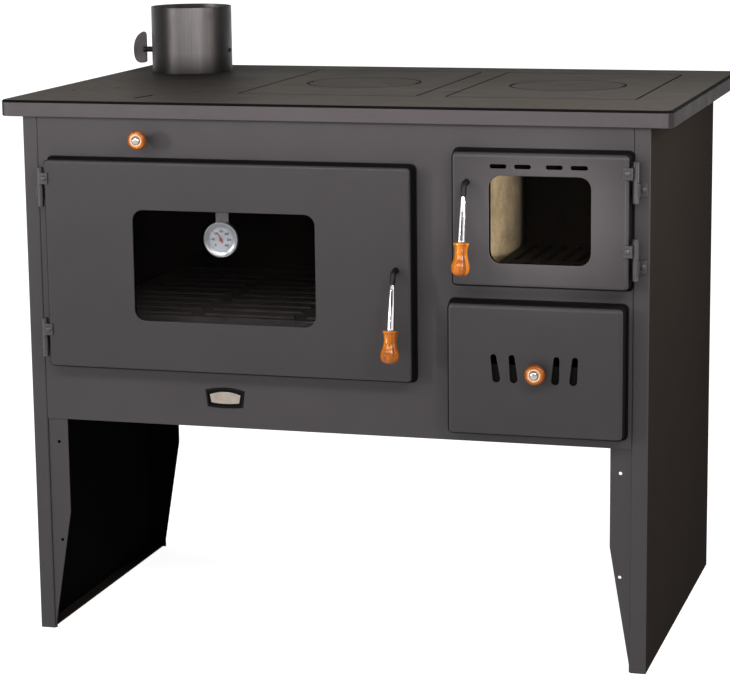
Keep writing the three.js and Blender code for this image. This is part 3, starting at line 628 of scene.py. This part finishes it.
bm = new()
slot_pts = [(x * math.cos(-0.18165) - y * math.sin(-0.18165) - 303, x * math.sin(-0.18165) + y * math.cos(-0.18165) + 68)
            for x, y in round_rect(-2.9, 2.9, -26.5, 26.5, 2.8, 4)]
seat = [(1.4, TOP_Z), (0.7, TOP_Z - 0.25), (0, TOP_Z - 0.8), (0, TOP_Z - 6.3), (-12, TOP_Z - 6.3), (-12, TOP_Z - HOB_T)]
lofted(bm, [
    (round_rect(-500, 500, -12, 640, 16, 10), eased(3.6, TOP_Z, 5) + [(0, TOP_Z - LIP + 0.8), (-0.8, TOP_Z - LIP), (-7.4, TOP_Z - LIP), (-8, TOP_Z - LIP + 0.6), (-8, TOP_Z - HOB_T)]),
    (round_rect(INS_L["x0"], INS_L["x1"], INS_L["y0"], INS_L["y1"], 5, 6), seat),
    (round_rect(INS_R["x0"], INS_R["x1"], INS_R["y0"], INS_R["y1"], 5, 6), seat),
    (circle(FLUE["x"], FLUE["y"], FLUE["r"] + 0.3), [(0.6, TOP_Z), (0, TOP_Z - 0.6), (0, TOP_Z - HOB_T)]),
    (slot_pts, [(0.4, TOP_Z), (0, TOP_Z - 0.4), (0, TOP_Z - HOB_T)]),
], on_floor_plan)
def darken_joints(ob, least=0.02):
    """Walls of the joints between hob, plates and lids take the near-black joint paint: soot, and painted shade in the
    gaps. The hob's outer rim is painted; its rounded top edge takes the same near-black paint as a painted shade line
    against the ground top, and its two ends a darker copy of the rim paint, also painted shade.
    """
    for p in ob.data.polygons:
        c = p.center * 1000
        rim = abs(abs(c.x) - 500) < 4.5 or c.y - Y_SHIFT < -7 or c.y - Y_SHIFT > 635
        if c.z < TOP_Z - least:
            p.material_index = 1 if not rim else (1 if c.z > TOP_Z - 3.7 else (3 if abs(p.normal.x) > 0.6 else 2))


darken_joints(finish_mesh(bm, "look_hob_frame", "body", "hob_frame", (M["hob"], M["gap"], M["rim"], M["rim_end"])))

for tag, o in (("left", INS_L), ("right", INS_R)):
    cx = (o["x0"] + o["x1"]) / 2
    bm = new()
    lofted(bm, [
        (round_rect(o["x0"] + 0.5, o["x1"] - 0.5, o["y0"] + 0.5, o["y1"] - 0.5, 5, 6), eased(1.5, TOP_Z, 3) + [(0, TOP_Z - 5.6), (-0.4, TOP_Z - 6)]),
        (circle(cx, LID_Y, LID_R), [(1.5, TOP_Z), (0.6, TOP_Z - 0.3), (0, TOP_Z - 0.9), (0, TOP_Z - 3), (-8, TOP_Z - 3), (-8, TOP_Z - 6)]),
    ], on_floor_plan)
    darken_joints(finish_mesh(bm, "look_hob_plate_" + tag, "plate_" + tag, "hob_plate_" + tag, (M["hob"], M["gap"])))
    bm = new()
    R, pts = LID_R - 0.5, []
    half = 2 * math.asin(5 / 2 / R)
    for k in range(2):                 # rim with two finger notches, to the right and the left
        a0 = k * math.pi + half
        pts += [(cx + R * math.cos(a0 + (math.pi - 2 * half) * i / 46), LID_Y + R * math.sin(a0 + (math.pi - 2 * half) * i / 46)) for i in range(47)]
        nx = cx + (R if k else -R)
        s = 1 if k else -1
        for i in range(1, 8):
            t = math.radians(-90 + 180 * i / 8)
            pts.append((nx - s * 5 * math.cos(t), LID_Y + s * 5 * math.sin(t)))
    lofted(bm, [(pts, eased(1.3, TOP_Z, 3) + [(0, TOP_Z - 2.3), (-0.4, TOP_Z - 2.7)])], on_floor_plan)
    lofted(bm, [(circle(cx, LID_Y, LID_R - 8.6), [(0, TOP_Z - 2.5), (0, TOP_Z - 8.2), (-0.8, TOP_Z - 9)])], on_floor_plan)
    darken_joints(finish_mesh(bm, "look_hob_lid_" + tag, "lid_" + tag, "hob_lid_" + tag, (M["lid"], M["gap"])))


# small dark rivet heads set flush in the hob's left end
bm = new()
for x, y, rr in ((-450, 155, 3.0), (-395, 197, 2.4), (-340, 240, 3.0)):
    lathe(bm, [(0, TOP_Z - 1.5), (rr, TOP_Z - 1.5), (rr, TOP_Z + 0.05), (rr * 0.7, TOP_Z + 0.3), (0, TOP_Z + 0.4)], lambda a, b, h, x=x, y=y: at(x + a, y + b, h), 24)
finish_mesh(bm, "look_hob_rivets", "body", None, (M["gap"],))


# ------------------------------------------------------------------ flue collar and damper
def about_z(cx, cy):
    return lambda a, b, h: at(cx + a, cy + b, h)


def about_x(cy, cz):
    return lambda a, b, h: at(h, cy + a, cz + b)


def about_y(cx, cz):             # h runs forward, towards the camera
    return lambda a, b, h: at(cx + a, -h, cz + b)


r, w, top = FLUE["r"], FLUE["wall"], FLUE["top"]
bm = new()
lathe(bm, soften([(r - w, 795), (r - w, top), (r, top), (r, TOP_Z - HOB_T - 0.3), (r + 4, TOP_Z - HOB_T - 0.3), (r + 4, 795.7), (r - w, 795)], 0.9, 3), about_z(FLUE["x"], FLUE["y"]), 128)
finish_mesh(bm, "look_flue_collar", "body", "flue_collar", (M["collar"],))
bm = new()
lathe(bm, soften([(0, FLUE["x"] - r - 8), (3, FLUE["x"] - r - 8), (3, FLUE["x"] + r + 2.4), (0, FLUE["x"] + r + 2.4)], 0.8, 3), about_x(FLUE["y"], DAMPER_Z), 32)
finish_mesh(bm, "look_damper_shaft", "flue_damper", "damper_shaft", (M["screw"],))
bm = new()
lathe(bm, soften([(0, -FLUE["y"] - 5.3), (60, -FLUE["y"] - 5.3), (60, -FLUE["y"] - 3.3), (0, -FLUE["y"] - 3.3)], 0.5, 2), about_y(FLUE["x"], DAMPER_Z), 96)
finish_mesh(bm, "look_damper_disc", "flue_damper", "damper_disc", (M["steel_x"],))
bm = new()
hx = FLUE["x"] - r - 13.6
outline = [(hx, -19), (hx - 2, -21.5)] + [(hx + dx, dz) for dx, dz in ((-7, -22.5), (-14, -22.3), (-19.5, -18.5), (-22.5, -11), (-23.4, -1), (-22.6, 8), (-19.6, 17), (-14.5, 24), (-8.5, 28.2), (-4.6, 29.2), (-1.4, 27.4), (0, 23.5))]
D = [(u, DAMPER_Z + v) for u, v in outline]
area = sum(D[i - 1][0] * D[i][1] - D[i][0] * D[i - 1][1] for i in range(len(D)))
if area < 0:
    D.reverse()
k = D.index(min(D, key=lambda p: abs(p[0] - hx) + abs(p[1] - DAMPER_Z - 23.5)))
D = D[k:] + D[:k]
curve = [(q.x, q.y) for q in smooth_path([(u, v, 0) for u, v in D], 4)]
f = -FLUE["y"]
lofted(bm, [(curve, eased(0.8, f + 1.6, 3) + [(0, f - 0.8), (-0.3, f - 1.4), (-0.8, f - 1.6)])], on_front)
ridges = [(0, hx - 6), (3.4, hx - 6), (4.4, hx - 5)]
n_r = 5
for i in range(n_r):                # ridged stem
    x = hx - 4 + i * (FLUE["x"] - r - 1.4 - hx + 4) / n_r
    ridges += [(4.6, x), (4.6, x + 1.7), (3.9, x + 2.1), (3.9, x + 2.5)]
ridges += [(4.6, FLUE["x"] - r - 1.3), (0, FLUE["x"] - r - 1.0)]
lathe(bm, ridges, about_x(FLUE["y"], DAMPER_Z), 40)
ob = finish_mesh(bm, "look_damper_handle", "flue_damper", "damper_handle", (M["mottled"], M["screw"]))
for p in ob.data.polygons:
    if p.center.x > (hx + 0.4) / 1000 or abs(p.center.y - at(0, FLUE["y"], 0).y) > 0.00165:
        p.material_index = 1


# ------------------------------------------------------------------ pressed pans
def pressed(name, body, node, o, rad, ease, holes, mats=None):
    """Pressed front: rounded rim, side walls, open at the back. holes: [(outline, rim radius), ...]"""
    wall, d = 3.0, o["d"]
    bm = new()
    loops = [(round_rect(o["x0"], o["x1"], o["z0"], o["z1"], rad, 8),
              eased(ease, d, 6) + [(0, 1.4), (-0.4, 1.0), (-wall + 0.3, 1.0), (-wall, 1.3), (-wall, d - wall)])]
    for pts, rim in holes:
        loops.append((pts, [(rim, d), (rim * 0.3, d - rim * 0.3), (0, d - rim), (0, d - wall)]))
    lofted(bm, loops, on_front)
    ob = finish_mesh(bm, name, body, node, mats or (M["door"], M["return"]))
    for p in ob.data.polygons:          # walls that run back from the front face, and the left and lower rims, take the dark return paint: painted shade
        outer = not (o["x0"] + ease < p.center.x * 1000 < o["x1"] - ease and o["z0"] + ease < p.center.z * 1000 < o["z1"] - ease)
        if abs(p.normal.y) < 0.2 or outer and (p.normal.x < -0.42 or p.normal.z < -0.42):
            p.material_index = 1
    return ob


def ring(x, z, r, n=24):
    return circle(x, z, r, n)


pressed("look_oven_door_shell", "oven_door", "oven_door_shell", OVEN_DOOR, 6, 4,
        [(round_rect(OVEN_WIN["x0"], OVEN_WIN["x1"], OVEN_WIN["z0"], OVEN_WIN["z1"], 16, 8), 1.2), (ring(*OVEN_HANDLE, 4.5), 0.4)])
vents = [(round_rect(a, b, 728, 734, 2.9, 5), 0.5) for a, b in ((247, 271), (282, 305.8), (326.8, 350.8), (361.8, 386))]
pressed("look_firebox_door_shell", "firebox_door", "firebox_door_shell", FIRE_DOOR, 7, 6,
        [(round_rect(FIRE_WIN["x0"], FIRE_WIN["x1"], FIRE_WIN["z0"], FIRE_WIN["z1"], 17, 8), 1.2), (ring(*FIRE_HANDLE, 4.5), 0.4)] + vents)
drops = []
for xt, xb in ((252, 256.2), (278.4, 281.5), (342.8, 340.8), (369.2, 366.8)):
    pts = [(xt + 4.2 * math.cos(a), 464.5 - 4.2 + 4.2 * math.sin(a)) for a in [math.pi * i / 8 for i in range(9)]]
    pts += [(xb + 5.6 * math.cos(a), 424 + 5.6 + 5.6 * math.sin(a)) for a in [math.pi * (1 + i / 8) for i in range(9)]]
    drops.append((pts, 0.5))
pressed("look_ash_drawer_front", "ash_drawer", "ash_drawer_front", ASH_FRONT, 7, 6, drops + [(ring(*ASH_KNOB, 3.2), 0.3)])

# flat black rope seal rings on the front panel, just wider than the pressed fronts that close on them; they stand in as
# painted shade lines round each front
for name, o in (("oven", OVEN_DOOR), ("firebox", FIRE_DOOR), ("ash", ASH_FRONT)):
    bm = new()
    lofted(bm, [(round_rect(o["x0"] - 3.0, o["x1"] + 3.0, o["z0"] - 3.0, o["z1"] + 3.0, 8, 8), [(0.7, 0.9), (0.2, 0.7), (0, 0.3), (0, 0.02)]),
                (round_rect(o["x0"] + 1.5, o["x1"] - 1.5, o["z0"] + 1.5, o["z1"] - 1.5, 5, 8), [(0.5, 0.9), (0, 0.5), (0, 0.02)])], on_front)
    finish_mesh(bm, "look_seal_shade_line_" + name, "body", None, (M["gap"],))

refined("oven_door_liner", "oven_door", (M["inner"],), 0.4)
refined("firebox_door_liner", "firebox_door", (M["inner"],), 0.4)
refined("oven_door_glass", "oven_door", (M["glass"],), 0.6)
refined("firebox_door_glass", "firebox_door", (M["glass"],), 0.6)
refined("ash_pan", "ash_drawer", (M["pan"],), 0.5)
refined("ash_knob_screw", "ash_drawer", (M["screw"],), 0.3)
refined("bypass_flap", "bypass_pull", (M["steel_x"],), 0.4)


# ------------------------------------------------------------------ knobs
def knob(prefix, body, x, y, z, s):
    wood = [(3.4, 0), (9.5 * s, 0), (10.5 * s, 2), (11 * s, 5), (14.4 * s, 8.5), (15.4 * s, 12), (15 * s, 15.5), (12.6 * s, 18.6), (8 * s, 19.4), (6.6, 18.6), (6.6, 14), (3.4, 14), (3.4, 0)]
    bm = new()
    lathe(bm, soften(wood, 2.2, 5), lambda a, b, h: at(x + a, y - h, z + b), 96)
    finish_mesh(bm, "look_" + prefix + "_wood", body, prefix + "_wood", (M["wood_" + prefix],), 50)
    bm = new()
    cap = [(0, 14.3), (6.2, 14.3), (6.2, 19.4), (5.7, 21.0), (4.4, 22.2), (2.4, 22.95), (0, 23.2)]
    lathe(bm, soften(cap, 0.7, 4), lambda a, b, h: at(x + a, y - h, z + b), 64)
    finish_mesh(bm, "look_" + prefix + "_cap", body, prefix + "_cap", (M["cap"],), 50)


knob("bypass_knob", "bypass_pull", BYPASS[0], -14, BYPASS[1], 0.93)
knob("ash_knob", "ash_drawer", ASH_KNOB[0], -30.3, ASH_KNOB[1], 0.98)
bm = new()
lathe(bm, soften([(0, -426.1), (4, -426.1), (4, 13.4), (3, 13.7), (3, 27), (0, 27)], 0.3, 2), about_y(*BYPASS), 32)
finish_mesh(bm, "look_bypass_rod", "bypass_pull", "bypass_rod", (M["screw"],))


# ------------------------------------------------------------------ door handles
def door_handle(prefix, spot, depth):
    x, z = spot
    y0 = -depth - 16
    pts = [(13, 0), (0, 0), (y0 + 12, 0), (y0 + 6, -0.8), (y0 + 2, -3.6), (y0, -8.5), (y0 - 2.2, -17.5)]
    bm = new()
    tube(bm, smooth_path([(x, y, z + dz) for y, dz in pts], 6), 4, 24)
    finish_mesh(bm, "look_" + prefix + "_rod", prefix, prefix + "_rod", (M["black"],), 50)
    lean = math.atan2(20, 108)

    def place(a, b, h):
        q = Matrix.Rotation(-lean, 3, "X") @ Vector((a, b, h))
        return at(x + q.x, y0 - 2.6 + q.y, z - 18 + q.z)

    bm = new()
    lathe(bm, soften([(0, 0), (2.8, 0), (3.4, -6), (4.6, -30), (5.4, -62), (5.4, -64), (0, -64)], 0.7, 3), place, 64)
    finish_mesh(bm, "look_" + prefix + "_ferrule", prefix, prefix + "_ferrule", (M["chrome"],), 50)
    grip = [(0, -64.3), (10.2, -64.3), (11.2, -65.5), (11.2, -67.8), (9.6, -69.6), (8.9, -75), (9.1, -82), (10.4, -88.5), (12.4, -94), (13.2, -99), (12.8, -103.5), (10.6, -108), (6, -110.6), (0, -111)]
    bm = new()
    lathe(bm, soften(grip, 2.2, 5), place, 96)
    finish_mesh(bm, "look_" + prefix + "_grip", prefix, prefix + "_grip", (M["wood_z"],), 60)
    refined(prefix + "_cam", prefix, (M["steel_x"],), 0.5)


door_handle("oven_handle", OVEN_HANDLE, OVEN_DOOR["d"])
door_handle("firebox_handle", FIRE_HANDLE, FIRE_DOOR["d"])


# ------------------------------------------------------------------ hinges
def screw_head(bm, x, z, face, r=4.6, high=2.6):
    """Pan head. face: distance of its seat in front of the panel."""
    prof = [(0, face - 0.6), (r, face - 0.6), (r, face + 0.5), (r * 0.93, face + high * 0.55), (r * 0.72, face + high * 0.88), (r * 0.45, face + high), (0, face + high * 1.02)]
    lathe(bm, soften(prof, 0.4, 3), about_y(x, z), 32)


def hinge(prefix, door_body, hx, hz, side, depth):
    y = HINGE_Y
    bm = new()
    prof = [(0, hz - HINGE_HALF), (HINGE_R - 1.2, hz - HINGE_HALF), (HINGE_R, hz - HINGE_HALF + 1.3), (HINGE_R, hz - HINGE_HALF + 3), (HINGE_R - 0.35, hz - HINGE_HALF + 3.4), (HINGE_R, hz - HINGE_HALF + 3.8), (HINGE_R, hz - 0.2), (0, hz - 0.2)]
    lathe(bm, soften(prof, 0.5, 3), about_z(hx, y), 48)
    lathe(bm, [(0, hz - 5), (2.4, hz - 5), (2.4, hz + 17.4), (1.8, hz + 18), (0, hz + 18)], about_z(hx, y), 24)
    block(bm, hx, hx + side * 5.5, y - 1.2, y + 1.2, hz - 21, hz - 2, 0.4)
    block(bm, hx + side * 3.2, hx + side * 5.6, y - 1.2, -0.3, hz - 21, hz - 2, 0.4)
    block(bm, hx + side * 3.2, hx + side * 14, -2.8, -0.3, hz - 21, hz - 2, 0.6, 3)
    screw_head(bm, hx + side * 8.4, hz - 11, 2.8, 4.2, 2.8)
    finish_mesh(bm, "look_" + prefix + "_frame_half", "body", prefix + "_frame_half", (M["hinge"],))
    bm = new()
    yf = -depth - 0.3
    prof = [(2.7, hz + 0.2), (HINGE_R, hz + 0.2), (HINGE_R, hz + HINGE_HALF - 3.8), (HINGE_R - 0.35, hz + HINGE_HALF - 3.4), (HINGE_R, hz + HINGE_HALF - 3), (HINGE_R, hz + HINGE_HALF - 1.3), (HINGE_R - 1.2, hz + HINGE_HALF), (0, hz + HINGE_HALF), (0, hz + 18.6), (2.7, hz + 18.6), (2.7, hz + 0.2)]
    outer = [(2.7, hz + 0.2), (HINGE_R, hz + 0.2), (HINGE_R, hz + HINGE_HALF - 3.8), (HINGE_R - 0.35, hz + HINGE_HALF - 3.4), (HINGE_R, hz + HINGE_HALF - 3), (HINGE_R, hz + HINGE_HALF - 1.3), (HINGE_R - 1.2, hz + HINGE_HALF), (0, hz + HINGE_HALF)]
    lathe(bm, [(0, hz + 18.6), (2.7, hz + 18.6)] + outer, about_z(hx, y), 48)
    block(bm, hx - side * 1.5, hx - side * 15, yf - 2, yf, hz + 5, hz + 22, 0.6, 3)
    block(bm, hx - side * 3, hx - side * 6.2, yf - 1, y + 2, hz + 5, hz + 22, 0.4)
    screw_head(bm, hx - side * 9, hz + 13.5, depth + 2.3, 4.2, 2.1)
    finish_mesh(bm, "look_" + prefix + "_door_half", door_body, prefix + "_door_half", (M["hinge"],))


for where, z in zip(("upper", "lower"), OVEN_HINGE_Z):
    hinge("oven_hinge_" + where, "oven_door", OVEN_HINGE_X, z, -1, OVEN_DOOR["d"])
for where, z in zip(("upper", "lower"), FIRE_HINGE_Z):
    hinge("firebox_hinge_" + where, "firebox_door", FIRE_HINGE_X, z, 1, FIRE_DOOR["d"])

# ------------------------------------------------------------------ thermometer
tx, tz = THERMO
ty = 16.9                       # distance of its front edge in front of the panel


def dial_place(a, b, h):
    return at(tx + a, -(ty + h), tz + b)


bm = new()
case = [(1.2, -9), (24, -9), (26, -7), (26, -0.8), (25.2, 0), (24.0, 0), (22.6, -0.9), (18.6, -2.4), (18.3, -3.1), (22.9, -3.2), (22.9, -4.4), (1.2, -4.4), (1.2, -9)]
lathe(bm, soften(case, 0.4, 4), dial_place, 112)
finish_mesh(bm, "look_thermometer_case", "oven_door", "thermometer_case", (M["bezel"],), 50)
bm = new()
lathe(bm, [(1.2, -4.1), (22.5, -4.1), (22.5, -3.3), (1.2, -3.3), (1.2, -4.1)], dial_place, 96)
ob = finish_mesh(bm, "look_thermometer_dial", "oven_door", "thermometer_dial", (M["dial"],))
marks = new()
for i in range(31):             # scale from lower left over the top to lower right
    a = math.radians(225 - 270 * i / 30)
    long_mark = i % 5 == 0
    r0, r1, wd = (15.2 if long_mark else 16.3), 17.6, (0.42 if long_mark else 0.22)
    c, s = math.cos(a), math.sin(a)
    corners = [(r0, -wd), (r1, -wd), (r1, wd), (r0, wd)]
    base = [marks.verts.new(dial_place(p * c - q * s, p * s + q * c, -3.28)) for p, q in corners]
    topv = [marks.verts.new(dial_place(p * c - q * s, p * s + q * c, -3.16)) for p, q in corners]
    marks.faces.new(base)
    marks.faces.new(topv)
    for j in range(4):
        marks.faces.new((base[j], base[(j + 1) % 4], topv[(j + 1) % 4], topv[j]))
finish_mesh(marks, "look_dial_marks", "oven_door", None, (M["ink"],), weighted=False)
for i, label in enumerate(("0", "50", "100", "150", "200", "250", "300")):
    a = math.radians(225 - 270 * i / 6)
    c = bpy.data.curves.new("number_" + label, "FONT")
    c.body, c.size, c.align_x, c.align_y, c.extrude = label, 0.0046, "CENTER", "CENTER", 0.00006
    c.offset = 0.00016
    tmp = bpy.data.objects.new("tmp", c)
    bpy.context.scene.collection.objects.link(tmp)
    bpy.context.view_layer.update()
    me = bpy.data.meshes.new_from_object(tmp.evaluated_get(bpy.context.evaluated_depsgraph_get()))
    bpy.data.objects.remove(tmp)
    spot = dial_place(12.0 * math.cos(a), 12.0 * math.sin(a), -3.2)
    me.transform(Matrix.Translation(spot) @ Matrix.Rotation(math.pi / 2, 4, "X"))
    me.materials.clear()
    me.materials.append(M["ink"])
    num = bpy.data.objects.new("look_dial_number_" + label, me)
    bpy.context.scene.collection.objects.link(num)
    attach(num, "oven_door")
ob = refined("thermometer_pointer", "thermometer_needle", (M["red"],), 0)
for v in ob.data.vertices:           # the blade has 0.72 of its length in the part, so its tip clears the bezel's slope
    a, b = v.co.x - tx / 1000, v.co.z - tz / 1000
    if a * a + b * b > 0.0026 ** 2:
        v.co.x, v.co.z = tx / 1000 + a * 0.72, tz / 1000 + b * 0.72
refined("thermometer_strap", "oven_door", (M["steel_x"],), 0.3)

# ------------------------------------------------------------------ floor and light
bm = new()                      # round floor that turns up into a low pale wall far away
N_F = 96
rows = [[bm.verts.new((d * math.cos(2 * math.pi * i / N_F), d * math.sin(2 * math.pi * i / N_F), h)) for i in range(N_F)] for d, h in ((60, 0), (66, 0.8), (70, 3.5), (71, 9), (71, 15))]
bm.faces.new(rows[0])
for a, b in zip(rows, rows[1:]):
    for i in range(N_F):
        bm.faces.new((a[i], b[i], b[(i + 1) % N_F], a[(i + 1) % N_F]))
g = Graph("studio_floor")
pale = g.ramp(g.noise(0.7, 3.0), [(0.3, (0.34, 0.34, 0.34)), (0.7, (0.38, 0.38, 0.38))])
g.color(pale)
g.rough(g.span(g.noise(3.0), 0.85, 0.95))
g.set(Specular_IOR_Level=0.05, Emission_Color=(1.0, 1.0, 1.0, 1.0), Emission_Strength=0.93)
floor = finish_mesh(bm, "studio_floor", None, mats=(g.mat,), weighted=False)

world = bpy.data.worlds.new("studio")
bpy.context.scene.world = world
world.use_nodes = True
wt = world.node_tree
back = wt.nodes["Background"]
xyz = wt.nodes.new("ShaderNodeSeparateXYZ")
wt.links.new(wt.nodes.new("ShaderNodeTexCoord").outputs["Generated"], xyz.inputs["Vector"])


def world_span(value, f0, f1, t0, t1):
    m = wt.nodes.new("ShaderNodeMapRange")
    m.interpolation_type = "SMOOTHSTEP"
    for k, v in (("From Min", f0), ("From Max", f1), ("To Min", t0), ("To Max", t1)):
        m.inputs[k].default_value = v
    wt.links.new(value, m.inputs["Value"])
    return m.outputs["Result"]


wt.links.new(world_span(xyz.outputs["Z"], 0.25, 0.95, 0.07, 0.85), back.inputs["Strength"])     # soft overhead light, dim low down
back.inputs["Color"].default_value = (1.0, 1.0, 1.0, 1)


def lamp(name, where, target, size, power, color=(1, 1, 1)):
    d = bpy.data.lights.new(name, "AREA")
    d.shape, d.size, d.size_y, d.energy, d.color = "RECTANGLE", size[0], size[1], power, color
    o = bpy.data.objects.new(name, d)
    bpy.context.scene.collection.objects.link(o)
    o.location = where
    o.rotation_mode = "QUATERNION"
    o.rotation_quaternion = (Vector(target) - Vector(where)).to_track_quat("-Z", "Y")
    o.visible_camera = False
    return o


lamp("near_strip", (0.12, -0.98, 1.03), (0.12, -0.28, 0.79), (1.6, 0.2), 11.2, (1.0, 0.975, 0.99))
lamp("key_left", (-3.3, -3.4, 1.25), (0.0, -0.28, 0.58), (0.40, 0.40), 120, (1.0, 0.985, 0.99))
lamp("side_right", (1.08, -0.22, 0.96), (0.47, -0.02, 0.66), (0.12, 0.5), 6.2, (1.0, 0.97, 0.94))
lamp("strip_left", (-0.72, -1.55, 1.45), (-0.386, 0.232, 0.87), (0.16, 0.5), 4)
lamp("strip_right", (0.98, -1.15, 1.35), (-0.386, 0.232, 0.87), (0.16, 0.5), 9)
d = bpy.data.lights.new("window_spot", "SPOT")      # reaches the left lining through the firebox window
d.energy, d.spot_size, d.spot_blend, d.shadow_soft_size = 800, math.radians(5.4), 0.85, 0.05
o = bpy.data.objects.new("window_spot", d)
bpy.context.scene.collection.objects.link(o)
o.location = (1.50, -2.66, 0.88)
o.rotation_mode = "QUATERNION"
o.rotation_quaternion = (Vector((0.326, -0.31, 0.655)) - Vector(o.location)).to_track_quat("-Z", "Y")

scene = bpy.context.scene
scene.view_settings.view_transform = "Standard"
scene.view_settings.look = "None"

bpy.context.view_layer.update()
